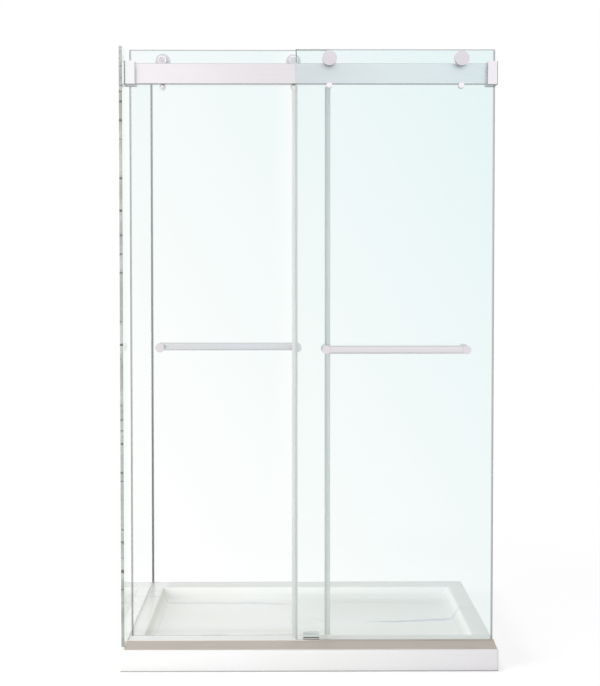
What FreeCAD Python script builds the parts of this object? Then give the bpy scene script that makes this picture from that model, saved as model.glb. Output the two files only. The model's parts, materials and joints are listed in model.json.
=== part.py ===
import FreeCAD, Part
import os
import re
import Sketcher

# A shower enclosure front: two glass doors that slide past each other on one rail, above a low tray,
# with a fixed glass panel down the left side. Millimetres, +X to the viewer's right, -Y to the front,
# +Z up. The origin is the middle of the tray's underside.

SIZES = {
    # Tray
    "tray_width": 1219,
    "tray_depth": 914,
    "tray_height": 72,
    "tray_round": 6,
    "side_rim": 61,
    "back_rim": 85,
    "front_rim": 170,
    "basin_depth": 42,
    "basin_wall_run": 26,
    "basin_fall": 8,
    # Drain
    "drain_setback": 54,
    "drain_bore_radius": 30.25,
    "drain_tube_wall": 4,
    "drain_flange_radius": 57,
    "drain_flange_thickness": 3,
    "drain_recess_depth": 9,
    "drain_recess_gap": 1,
    "drain_cover_thickness": 4,
    "drain_foot_radius": 4,
    "sump_margin": 6,
    # Sill on the front rim
    "sill_front_inset": 2,
    "sill_depth": 64,
    "sill_left_gap": 0.5,
    "sill_right_gap": 5.5,
    "sill_front_height": 3,
    "sill_back_height": 10,
    "sill_lip_width": 2.5,
    "sill_lip_height": 3,
    # Glass
    "glass_thickness": 10,
    "glass_height": 1930,
    "glass_lift": 7,
    "glass_arris": 1,
    "outer_drop": 6,
    "door_overlap": 102,
    "edge_gap": 8,
    # Fixed side panel and its wall channel
    "panel_inset": 5,
    "panel_drop": 9,
    "panel_front_inset": 7,
    "panel_back_gap": 10,
    "channel_wall": 2,
    "channel_depth": 25,
    "channel_seal": 1,
    "channel_hole_radius": 2.75,
    "channel_hole_margin": 100,
    # Rail
    "rail_setback": 111,
    "rail_depth": 28,
    "rail_height": 64,
    "rail_wall": 2.5,
    "rail_corner": 1.5,
    "rail_drop": 51,
    "rail_gap": 7,
    "rail_end_gap": 8,
    "rib_width": 4,
    "rib_height": 2.5,
    "rib_shoulder": 0.8,
    "lane_offset": 7,
    # Brackets at the rail's ends
    "bracket_length": 31.5,
    "bracket_base": 4,
    "bracket_wall": 4.5,
    "bracket_cap": 4,
    "bracket_edge": 1,
    "slot_clearance": 1.5,
    "rail_fit": 0.3,
    "gasket": 1,
    "bumper": 2,
    "stop_bumper": 7,
    "bumper_inset": 6,
    "fixing_spacing": 36,
    "wall_hole_spacing": 40,
    "fixing_radius": 3,
    "fixing_clearance": 0.25,
    "clamp_plate": 3,
    "clamp_head_radius": 6,
    "clamp_nut_width": 10,
    "clamp_nut_height": 5,
    "panel_hole_radius": 4.5,
    "set_screw_radius": 3,
    "set_screw_key": 3,
    # Rollers
    "roller_spacing": 427,
    "wheel_radius": 14.5,
    "wheel_width": 9,
    "groove_depth": 2.3,
    "groove_width": 5,
    "wheel_gap": 0.3,
    "bearing_radius": 9.5,
    "bearing_width": 6,
    "bearing_bore": 4,
    "bearing_ring": 1.6,
    "bearing_recess": 0.4,
    "spindle_clearance": 0.05,
    "side_play": 0.3,
    "shoulder_radius": 6,
    "hub_radius": 18,
    "hub_thickness": 4,
    "roller_stud_radius": 3.9,
    "roller_hole_radius": 8,
    "roller_cap_radius": 24,
    "roller_cap_thickness": 16,
    "roller_stud_reach": 11,
    "retainer_radius": 5.5,
    "retainer_thickness": 1.8,
    "retainer_thread_radius": 2,
    "retainer_thread_length": 8,
    "bush_flange": 1,
    "bush_flange_extra": 6,
    "bush_fit": 0.1,
    "cap_edge": 1.5,
    # Anti-jump pins under the rail
    "jump_pin_radius": 5,
    "jump_pin_gap": 2,
    "jump_pin_tip": 4,
    "jump_flange_radius": 10,
    "jump_flange_thickness": 4,
    "jump_cap_thickness": 4,
    "jump_stud_reach": 3,
    "jump_stud_radius": 2.9,
    "jump_hole_radius": 5,
    "jump_bush_flange_extra": 4,
    # Handles
    "handle_spacing": 450,
    "handle_rise": 956,
    "handle_standoff": 58,
    "bar_radius": 13,
    "bar_wall": 1.5,
    "post_radius": 14,
    "handle_hole_radius": 6,
    "handle_stud_radius": 3.9,
    "handle_stud_reach": 20,
    "handle_cap_radius": 15,
    "handle_cap_thickness": 8,
    "handle_cap_skin": 2,
    # Seals at the doors' meeting edges
    "seal_wall": 1.5,
    "seal_leg": 6,
    "seal_fin_reach": 10,
    "seal_fin_drop": 8,
    "seal_bottom_gap": 5,
    "seal_top_gap": 6,
    # Floor guide
    "guide_length": 52,
    "guide_height": 20,
    "guide_base": 4,
    "guide_fin": 5,
    "guide_clearance": 1,
    "guide_screw_spacing": 30,
    "guide_screw_radius": 2,
    "guide_screw_length": 18,
    "guide_head_radius": 4,
    "guide_head_height": 2.5,
}

PLACES = {
    "tray_left": "=-tray_width / 2",
    "tray_right": "=tray_width / 2",
    "tray_front": "=-tray_depth / 2",
    "tray_back": "=tray_depth / 2",
    "floor_edge": "=tray_height - basin_depth",
    "floor_low": "=floor_edge - basin_fall",
    "recess_radius": "=drain_flange_radius + drain_recess_gap",
    "recess_floor": "=floor_low - drain_recess_depth",
    "sump_half": "=recess_radius + sump_margin",
    "glass_bottom": "=tray_height + glass_lift",
    "glass_top": "=glass_bottom + glass_height",
    "outer_top": "=glass_top - outer_drop",
    "panel_outer": "=tray_left + panel_inset",
    "panel_inner": "=panel_outer + glass_thickness",
    "panel_front": "=tray_front + panel_front_inset",
    "panel_top": "=glass_top - panel_drop",
    "channel_front": "=tray_back - channel_depth",
    "channel_floor": "=tray_back - channel_wall",
    "panel_back": "=channel_floor - panel_back_gap",
    "rail_line": "=tray_front + rail_setback",
    "rail_top": "=glass_top - rail_drop",
    "rail_bottom": "=rail_top - rail_height",
    "rail_middle": "=rail_top - rail_height / 2",
    "rib_top": "=rail_top + rib_height",
    "glass_near": "=rail_depth / 2 + rail_gap",
    "glass_far": "=glass_near + glass_thickness",
    "door_width": "=(tray_right - panel_inner + door_overlap) / 2 - edge_gap",
    "inner_left": "=panel_inner + edge_gap",
    "inner_right": "=inner_left + door_width",
    "outer_right": "=tray_right - edge_gap",
    "outer_left": "=outer_right - door_width",
    "meeting_line": "=(outer_left + inner_right) / 2",
    "bracket_half": "=glass_far + slot_clearance + bracket_wall",
    "bracket_bottom": "=rail_bottom - bracket_cap",
    "pocket_top": "=rib_top + rail_fit",
    "nut_corner_radius": "=clamp_nut_width / sqrt(3)",
    "bracket_top": "=pocket_top + bracket_cap",
    "groove_radius": "=wheel_radius - groove_depth",
    "roller_axis": "=rib_top + wheel_gap + groove_radius",
    "bush_near": "=glass_near - bush_flange",
    "bush_far": "=glass_far + bush_flange",
    "hub_face": "=bush_near - hub_thickness",
    "bearing_far": "=lane_offset + bearing_width / 2",
    "spindle_tip": "=lane_offset - bearing_width / 2 - side_play",
    "jump_axis": "=rail_bottom - jump_pin_gap - jump_pin_radius",
    "handle_axis": "=glass_bottom + handle_rise",
    "bar_line": "=bush_far + handle_standoff",
    "post_end": "=bar_line + post_radius",
    "seal_bottom": "=glass_bottom + seal_bottom_gap",
    "seal_top": "=rail_bottom - seal_top_gap",
    "guide_half": "=glass_far + guide_clearance + guide_fin",
    "guide_top": "=tray_height + guide_height",
    "guide_floor": "=tray_height + guide_base",
}

TURNS = {
    "X": FreeCAD.Rotation(FreeCAD.Vector(0, 1, 0), 90),
    "Y": FreeCAD.Rotation(FreeCAD.Vector(1, 0, 0), -90),
    "Z": FreeCAD.Rotation(),
}

doc = FreeCAD.newDocument("sliding_shower_door")
sheet = doc.addObject("Spreadsheet::Sheet", "dims")
for row, (alias, content) in enumerate({**SIZES, **PLACES}.items(), start=1):
    sheet.set(f"A{row}", alias)
    sheet.set(f"B{row}", str(content))
    sheet.setAlias(f"B{row}", alias)
doc.recompute()

nodes = []


def formula(text):
    """A formula in size names, with each name read from the sheet."""
    return re.sub(r"[a-z]\w*", r"dims.\g<0>", text)


def number(text):
    """A formula's value at the sheet's present sizes."""
    return float(sheet.evalExpression(text))


def bind(piece, size, text):
    """Tie one size of a piece to a formula."""
    piece.setExpression(size, formula(text))


def place(piece, x, y, z, axis="Z"):
    """Put a piece at a point, with its own Z turned along an axis."""
    piece.Placement = FreeCAD.Placement(FreeCAD.Vector(), TURNS[axis])
    for letter, text in zip("xyz", (x, y, z)):
        bind(piece, f"Placement.Base.{letter}", text)


def node(piece, label):
    """Name a finished sub-part."""
    piece.Label = label
    nodes.append(piece)
    return piece


def block(name, x, y, z):
    """A box between the low and high formulas of each direction."""
    box = doc.addObject("Part::Box", name)
    for size, (low, high) in zip(("Length", "Width", "Height"), (x, y, z)):
        bind(box, size, f"({high}) - ({low})")
    place(box, x[0], y[0], z[0])
    return box


def rod(name, axis, start, radius, length):
    """A cylinder from a start point along an axis."""
    cylinder = doc.addObject("Part::Cylinder", name)
    bind(cylinder, "Radius", radius)
    bind(cylinder, "Height", length)
    place(cylinder, *start, axis)
    return cylinder


def outline(body, plane_role, corner_lists):
    """A sketch of closed outlines, every corner tied to two formulas."""
    plane = next(item for item in body.Origin.OriginFeatures if item.Role == plane_role)
    sketch = body.newObject("Sketcher::SketchObject", f"{body.Name}_outline")
    sketch.AttachmentSupport = (plane, [""])
    sketch.MapMode = "FlatFace"
    for corners in corner_lists:
        points = [FreeCAD.Vector(number(across), number(up), 0) for across, up in corners]
        first = sketch.GeometryCount
        count = len(points)
        for index in range(count):
            sketch.addGeometry(Part.LineSegment(points[index], points[(index + 1) % count]))
        for index in range(count):
            following = first + (index + 1) % count
            sketch.addConstraint(Sketcher.Constraint("Coincident", first + index, 2, following, 1))
        for index, (point, texts) in enumerate(zip(points, corners)):
            for kind, value, text in zip(("DistanceX", "DistanceY"), point, texts):
                tie = Sketcher.Constraint(kind, -1, 1, first + index, 1, value)
                bind(sketch, f"Constraints[{sketch.addConstraint(tie)}]", text)
    return sketch


def extruded(name, plane_role, corner_lists, length, x="0", y="0", z="0"):
    """A piece of one section, pushed out square to its plane."""
    body = doc.addObject("PartDesign::Body", name)
    sketch = outline(body, plane_role, corner_lists)
    pad = body.newObject("PartDesign::Pad", f"{name}_pad")
    pad.Profile = sketch
    bind(pad, "Length", length)
    place(body, x, y, z)
    return body


def turned(name, axis, centre, corners):
    """A piece turned about an axis, from (radius, distance along the axis) corners."""
    body = doc.addObject("PartDesign::Body", name)
    sketch = outline(body, "XZ_Plane", [corners])
    turning = body.newObject("PartDesign::Revolution", f"{name}_turning")
    turning.Profile = sketch
    turning.ReferenceAxis = (sketch, ["V_Axis"])
    turning.Angle = 360
    place(body, *centre, axis)
    return body


def group(name, pieces):
    """Several separate solids in one node."""
    compound = doc.addObject("Part::Compound", name)
    compound.Links = pieces
    return compound


def cut(name, base, tools):
    """A piece with other shapes taken out of it."""
    result = doc.addObject("Part::Cut", name)
    result.Base = base
    result.Tool = tools[0] if len(tools) == 1 else group(f"{name}_tools", tools)
    return result


def fuse(name, pieces):
    """Shapes joined into one solid."""
    result = doc.addObject("Part::MultiFuse", name)
    result.Shapes = pieces
    result.Refine = True
    return result


def eased(kind, name, base, size, chosen):
    """A piece with some of its edges rounded or bevelled by a size."""
    doc.recompute()
    result = doc.addObject(kind, name)
    result.Base = base
    amount = number(size)
    picked = [index for index, edge in enumerate(base.Shape.Edges, start=1) if chosen(edge)]
    result.Edges = [(index, amount, amount) for index in picked]
    return result


def any_edge(edge):
    return True


# Tray: a solid slab with a basin whose floor falls to the drain

def basin(name, low, high, low_x, low_y, high_x, high_y):
    """A hollow with a rectangle at each of two heights and flat sloping walls between them."""
    wedge = doc.addObject("Part::Wedge", name)
    limits = {
        "Xmin": low_x[0],
        "Xmax": low_x[1],
        "X2min": high_x[0],
        "X2max": high_x[1],
        "Ymin": low,
        "Ymax": high,
        "Zmin": f"-({low_y[1]})",
        "Zmax": f"-({low_y[0]})",
        "Z2min": f"-({high_y[1]})",
        "Z2max": f"-({high_y[0]})",
    }
    for size, text in limits.items():
        bind(wedge, size, text)
    wedge.Placement.Rotation = FreeCAD.Rotation(FreeCAD.Vector(1, 0, 0), 90)
    return wedge


def upper_edge(edge):
    """The slab's upright corners and its top outline."""
    return edge.BoundBox.ZMax > number("tray_height / 2")


slab = block("tray_slab", ("tray_left", "tray_right"), ("tray_front", "tray_back"), ("0", "tray_height"))
rounded_slab = eased("Part::Fillet", "tray_rounded", slab, "tray_round", upper_edge)
rim_x = ("tray_left + side_rim", "tray_right - side_rim")
rim_y = ("tray_front + front_rim", "tray_back - back_rim")
floor_x = (f"{rim_x[0]} + basin_wall_run", f"{rim_x[1]} - basin_wall_run")
floor_y = (f"{rim_y[0]} + basin_wall_run", f"{rim_y[1]} - basin_wall_run")
sump_x = ("-sump_half", "sump_half")
sump_y = ("drain_setback - sump_half", "drain_setback + sump_half")
drain_at = ("0", "drain_setback")
tray_cuts = [
    basin("basin_walls", "floor_edge", "tray_height", floor_x, floor_y, rim_x, rim_y),
    basin("basin_floor", "floor_low", "floor_edge", sump_x, sump_y, floor_x, floor_y),
    rod("drain_recess", "Z", (*drain_at, "recess_floor"), "recess_radius", "drain_recess_depth"),
    rod("drain_hole", "Z", (*drain_at, "0"),
        "drain_bore_radius + drain_tube_wall + drain_recess_gap", "recess_floor"),
]
node(cut("tray", rounded_slab, tray_cuts), "shower_tray")

# Drain: a flanged body with a pipe bore, and a flush cover on four feet

tube_radius = "drain_bore_radius + drain_tube_wall"
node(turned("drain", "Z", (*drain_at, "0"), [
    ("drain_bore_radius", "0"),
    (tube_radius, "0"),
    (tube_radius, "recess_floor"),
    ("drain_flange_radius", "recess_floor"),
    ("drain_flange_radius", "recess_floor + drain_flange_thickness"),
    ("drain_bore_radius", "recess_floor + drain_flange_thickness"),
]), "drain_body")
cover_low = "floor_low - drain_cover_thickness"
cover_disc = turned("cover_disc", "Z", (*drain_at, "0"), [
    ("0", cover_low),
    ("drain_flange_radius", cover_low),
    ("drain_flange_radius", "floor_low - cap_edge"),
    ("drain_flange_radius - cap_edge", "floor_low"),
    ("0", "floor_low"),
])
foot_ring = "(drain_flange_radius + drain_bore_radius) / 2"
foot_low = "recess_floor + drain_flange_thickness"
cover_feet = []
for across, along in ((1, 0), (0, 1), (-1, 0), (0, -1)):
    foot_at = (f"{across} * {foot_ring}", f"drain_setback + {along} * {foot_ring}", foot_low)
    cover_feet.append(rod("cover_foot", "Z", foot_at, "drain_foot_radius", f"{cover_low} - ({foot_low})"))
node(fuse("cover", [cover_disc, *cover_feet]), "drain_cover")

# Sill: a ramp along the front rim with an upright lip at its back

sill_front = "tray_front + sill_front_inset"
sill_back = "tray_front + sill_front_inset + sill_depth"
sill_left = "panel_inner + sill_left_gap"
sill_right = "tray_right - sill_right_gap"
node(extruded("sill", "YZ_Plane", [[
    (sill_front, "tray_height"),
    (sill_back, "tray_height"),
    (sill_back, "tray_height + sill_back_height + sill_lip_height"),
    (f"{sill_back} - sill_lip_width", "tray_height + sill_back_height + sill_lip_height"),
    (f"{sill_back} - sill_lip_width", "tray_height + sill_back_height"),
    (sill_front, "tray_height + sill_front_height"),
]], f"{sill_right} - ({sill_left})", x=sill_left), "threshold_sill")

# Fixed side panel, the strip it stands on, and the channel that holds its back edge to the wall

clamp_heights = ("rail_middle - fixing_spacing / 2", "rail_middle + fixing_spacing / 2")
wall_hole_heights = ("rail_middle - wall_hole_spacing / 2", "rail_middle + wall_hole_spacing / 2")


def glass_pane(name, x, y, top, holes):
    """A sheet of toughened glass with eased edges and drilled holes."""
    blank = block(f"{name}_blank", x, y, ("glass_bottom", top))
    sheet_of_glass = eased("Part::Chamfer", f"{name}_eased", blank, "glass_arris", any_edge)
    return cut(name, sheet_of_glass, holes)


panel_x = ("panel_outer", "panel_inner")
panel_holes = []
for height in clamp_heights:
    hole_at = ("panel_outer", "rail_line", height)
    panel_holes.append(rod("panel_hole", "X", hole_at, "panel_hole_radius", "glass_thickness"))
panel_y = ("panel_front", "panel_back")
node(glass_pane("side_panel", panel_x, panel_y, "panel_top", panel_holes), "return_panel")
strip_y = ("panel_front", "channel_front")
node(block("strip", panel_x, strip_y, ("tray_height", "glass_bottom")), "setting_strip")

channel_left = "panel_outer - channel_seal - channel_wall"
channel_right = "panel_inner + channel_seal + channel_wall"
channel_height = "glass_top - tray_height"
channel_section = extruded("channel_section", "XY_Plane", [[
    (channel_left, "channel_front"),
    ("panel_outer - channel_seal", "channel_front"),
    ("panel_outer - channel_seal", "channel_floor"),
    ("panel_inner + channel_seal", "channel_floor"),
    ("panel_inner + channel_seal", "channel_front"),
    (channel_right, "channel_front"),
    (channel_right, "tray_back"),
    (channel_left, "tray_back"),
]], channel_height, z="tray_height")
channel_hole_heights = (
    "tray_height + channel_hole_margin",
    "glass_top - channel_hole_margin",
)
channel_holes = []
for height in channel_hole_heights:
    hole_at = ("(panel_outer + panel_inner) / 2", "channel_floor", height)
    channel_holes.append(rod("channel_hole", "Y", hole_at, "channel_hole_radius", "channel_wall"))
node(cut("channel", channel_section, channel_holes), "wall_channel")
channel_seals = []
for low, high in (("panel_outer - channel_seal", "panel_outer"), ("panel_inner", "panel_inner + channel_seal")):
    seal_y = ("channel_front", "panel_back")
    channel_seals.append(block("channel_seal_strip", (low, high), seal_y, ("glass_bottom", "panel_top")))
node(group("channel_strips", channel_seals), "channel_seals")

# Rail: a hollow bar with a rounded track rib for each door on its top

rail_left = "panel_inner + gasket + bracket_base + rail_end_gap"
rail_right = "tray_right - gasket - bracket_base - rail_end_gap"


def rib(centre):
    """One track rib's corners, from the rear round to the front."""
    return [
        (f"{centre} + rib_width / 2", "rail_top"),
        (f"{centre} + rib_width / 2", "rib_top - rib_shoulder"),
        (f"{centre} + rib_width / 2 - rib_shoulder", "rib_top"),
        (f"{centre} - rib_width / 2 + rib_shoulder", "rib_top"),
        (f"{centre} - rib_width / 2", "rib_top - rib_shoulder"),
        (f"{centre} - rib_width / 2", "rail_top"),
    ]


rail_front = "rail_line - rail_depth / 2"
rail_rear = "rail_line + rail_depth / 2"
rail_outside = [
    (f"{rail_front} + rail_corner", "rail_bottom"),
    (f"{rail_rear} - rail_corner", "rail_bottom"),
    (rail_rear, "rail_bottom + rail_corner"),
    (rail_rear, "rail_top - rail_corner"),
    (f"{rail_rear} - rail_corner", "rail_top"),
    *rib("rail_line + lane_offset"),
    *rib("rail_line - lane_offset"),
    (f"{rail_front} + rail_corner", "rail_top"),
    (rail_front, "rail_top - rail_corner"),
    (rail_front, "rail_bottom + rail_corner"),
]
rail_inside = [
    (f"{rail_front} + rail_wall", "rail_bottom + rail_wall"),
    (f"{rail_rear} - rail_wall", "rail_bottom + rail_wall"),
    (f"{rail_rear} - rail_wall", "rail_top - rail_wall"),
    (f"{rail_front} + rail_wall", "rail_top - rail_wall"),
]
rail_length = f"{rail_right} - ({rail_left})"
rail_outlines = [rail_outside, rail_inside]
node(extruded("rail", "YZ_Plane", rail_outlines, rail_length, x=rail_left), "top_rail")

# Brackets: a comb that holds the rail and lets the doors' edges into its two open slots


def bracket(name, wall, inward, hole_heights, hole_radius):
    """One bracket: wall is its base plane, inward is 1 towards +X or -1 towards -X."""
    base = f"{wall} + {inward} * bracket_base"
    tip = f"{wall} + {inward} * bracket_length"
    slot_far = "glass_far + slot_clearance"
    slot_near = "glass_near - slot_clearance"
    half_comb = [
        (wall, "bracket_half"),
        (tip, "bracket_half"),
        (tip, slot_far),
        (base, slot_far),
        (base, slot_near),
        (tip, slot_near),
    ]
    front_half = [(x, f"rail_line - ({y})") for x, y in half_comb]
    rear_half = [(x, f"rail_line + {y}") for x, y in reversed(half_comb)]
    height = "bracket_top - bracket_bottom"
    comb = extruded(f"{name}_comb", "XY_Plane", [front_half + rear_half], height, z="bracket_bottom")

    def face_edge(edge):
        """The outlines of the comb's front and back faces."""
        reach = number("bracket_half - slot_clearance")
        return all(abs(vertex.Y - number("rail_line")) > reach for vertex in edge.Vertexes)

    eased_comb = eased("Part::Chamfer", f"{name}_eased", comb, "bracket_edge", face_edge)
    pocket_x = (base, tip) if inward > 0 else (tip, base)
    pocket_half = "(rail_depth / 2 + rail_fit)"
    pocket_y = (f"rail_line - {pocket_half}", f"rail_line + {pocket_half}")
    tools = [block(f"{name}_pocket", pocket_x, pocket_y, ("rail_bottom", "pocket_top"))]
    hole_start = wall if inward > 0 else base
    for hole_height in hole_heights:
        hole_at = (hole_start, "rail_line", hole_height)
        tools.append(rod(f"{name}_hole", "X", hole_at, hole_radius, "bracket_base"))
    screw_at = (f"{base} + {inward} * (bracket_length - bracket_base + rail_end_gap) / 2", "rail_line",
                "bracket_bottom")
    tools.append(rod(f"{name}_thread", "Z", screw_at, "set_screw_radius", "bracket_cap"))
    screw = rod(f"{name}_set_screw", "Z", screw_at, "set_screw_radius", "bracket_cap")
    key = doc.addObject("Part::Prism", f"{name}_key")
    key.Polygon = 6
    bind(key, "Circumradius", "set_screw_key / 2")
    bind(key, "Height", "bracket_cap / 2")
    place(key, *screw_at)
    bumpers = []
    pad_z = ("bracket_bottom + bumper_inset", "bracket_top - bumper_inset")
    for side in (-1, 1):
        depth = "stop_bumper" if side == -inward else "bumper"
        pad_x = (base, f"{base} + {depth}") if inward > 0 else (f"{base} - {depth}", base)
        slot_y = (f"rail_line + {side} * (glass_near + glass_far) / 2 - glass_thickness / 2",
                  f"rail_line + {side} * (glass_near + glass_far) / 2 + glass_thickness / 2")
        bumpers.append(block(f"{name}_bumper", pad_x, slot_y, pad_z))
    return cut(name, eased_comb, tools), cut(f"{name}_screw", screw, [key]), bumpers


left_base = "panel_inner + gasket"
right_base = "tray_right - gasket"
free_hole = "fixing_radius + fixing_clearance"
left_bracket, left_screw, left_bumpers = bracket(
    "left_end", left_base, 1, clamp_heights, "fixing_radius")
right_bracket, right_screw, right_bumpers = bracket(
    "right_end", right_base, -1, wall_hole_heights, free_hole)
node(left_bracket, "left_bracket")
node(right_bracket, "right_bracket")
node(group("set_screws", [left_screw, right_screw]), "rail_set_screws")
node(group("bumper_pads", left_bumpers + right_bumpers), "bracket_bumpers")

# Clamp: a plate outside the side panel, bolted through the glass to the left bracket

bracket_y = ("rail_line - bracket_half", "rail_line + bracket_half")
bracket_z = ("bracket_bottom", "bracket_top")
plate_x = ("panel_outer - gasket - clamp_plate", "panel_outer - gasket")


def gasket_sheet(outer_face, hole_heights):
    """A thin sheet of the bracket's outline with its two fixing holes."""
    sheet_x = (outer_face, f"{outer_face} + gasket")
    blank = block("gasket_blank", sheet_x, bracket_y, bracket_z)
    holes = []
    for hole_height in hole_heights:
        hole_at = (outer_face, "rail_line", hole_height)
        holes.append(rod("gasket_hole", "X", hole_at, free_hole, "gasket"))
    return cut("gasket_sheet", blank, holes)


gaskets = [
    gasket_sheet("panel_outer - gasket", clamp_heights),
    gasket_sheet("panel_inner", clamp_heights),
    gasket_sheet("tray_right - gasket", wall_hole_heights),
]
node(group("gasket_sheets", gaskets), "bracket_gaskets")

clamp_blank = block("clamp_blank", plate_x, bracket_y, bracket_z)
clamp_bolts = []
clamp_sinks = []
for height in clamp_heights:
    bolt_at = (plate_x[0], "rail_line", height)
    bolt_end = "clamp_plate + 2 * gasket + glass_thickness + bracket_base + clamp_nut_height"
    bolt_corners = [("0", "0"), ("clamp_head_radius", "0"), ("fixing_radius", "clamp_plate")]
    clamp_sinks.append(turned("clamp_sink", "X", bolt_at, [*bolt_corners, ("0", "clamp_plate")]))
    clamp_bolts.append(turned("clamp_bolt", "X", bolt_at,
                              [*bolt_corners, ("fixing_radius", bolt_end), ("0", bolt_end)]))
node(cut("clamp", clamp_blank, clamp_sinks), "clamp_plate")
node(group("clamp_screws", clamp_bolts), "clamp_bolts")
clamp_nuts = []
for height in clamp_heights:
    nut_at = (f"{left_base} + bracket_base", "rail_line", height)
    nut = doc.addObject("Part::Prism", "clamp_nut")
    nut.Polygon = 6
    bind(nut, "Circumradius", "nut_corner_radius")
    bind(nut, "Height", "clamp_nut_height")
    place(nut, *nut_at, "X")
    nut_bore = rod("nut_bore", "X", nut_at, "fixing_radius", "clamp_nut_height")
    clamp_nuts.append(cut("bored_nut", nut, [nut_bore]))
node(group("nuts", clamp_nuts), "clamp_nuts")

# Floor guide: three fins that keep the doors' lower edges in line

outer_fin = "glass_far + guide_clearance"
inner_fin = "glass_near - guide_clearance"
half_guide = [
    ("guide_half", "tray_height"),
    ("guide_half", "guide_top"),
    (outer_fin, "guide_top"),
    (outer_fin, "guide_floor"),
    (inner_fin, "guide_floor"),
    (inner_fin, "guide_top"),
    (f"{inner_fin} - guide_fin", "guide_top"),
    (f"{inner_fin} - guide_fin", "guide_floor"),
]
guide_outline = [(f"rail_line + {y}", z) for y, z in half_guide]
guide_outline += [(f"rail_line - ({y})", z) for y, z in reversed(half_guide)]
guide_left = "meeting_line - guide_length / 2"
guide_blank = extruded("guide_blank", "YZ_Plane", [guide_outline], "guide_length", x=guide_left)
guide_holes = []
guide_screws = []
for side in (-1, 1):
    screw_x = f"meeting_line + {side} * guide_screw_spacing / 2"
    hole_at = (screw_x, "rail_line", "tray_height")
    guide_holes.append(rod("guide_hole", "Z", hole_at, "guide_screw_radius", "guide_base"))
    guide_screws.append(turned("guide_screw", "Z", (screw_x, "rail_line", "0"), [
        ("0", "guide_floor - guide_screw_length"),
        ("guide_screw_radius", "guide_floor - guide_screw_length + guide_screw_radius"),
        ("guide_screw_radius", "guide_floor"),
        ("guide_head_radius", "guide_floor"),
        ("guide_head_radius", "guide_floor + guide_head_height / 2"),
        ("guide_head_radius / 2", "guide_floor + guide_head_height"),
        ("0", "guide_floor + guide_head_height"),
    ]))
node(cut("guide", guide_blank, guide_holes), "floor_guide")
node(group("guide_fixings", guide_screws), "guide_screws")

# The guide's screws go into plain pilot holes in the tray's front rim

pilots = []
for side in (-1, 1):
    pilot_at = (f"meeting_line + {side} * guide_screw_spacing / 2", "rail_line",
                "guide_floor - guide_screw_length")
    pilots.append(rod("pilot", "Z", pilot_at, "guide_screw_radius", "guide_screw_length - guide_base"))
tray = next(piece for piece in nodes if piece.Label == "shower_tray")
tray.Tool.Links = tray.Tool.Links + pilots

# Doors: everything is measured from the rail's middle line, towards the front for the outer door
# and towards the back for the inner one


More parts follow.
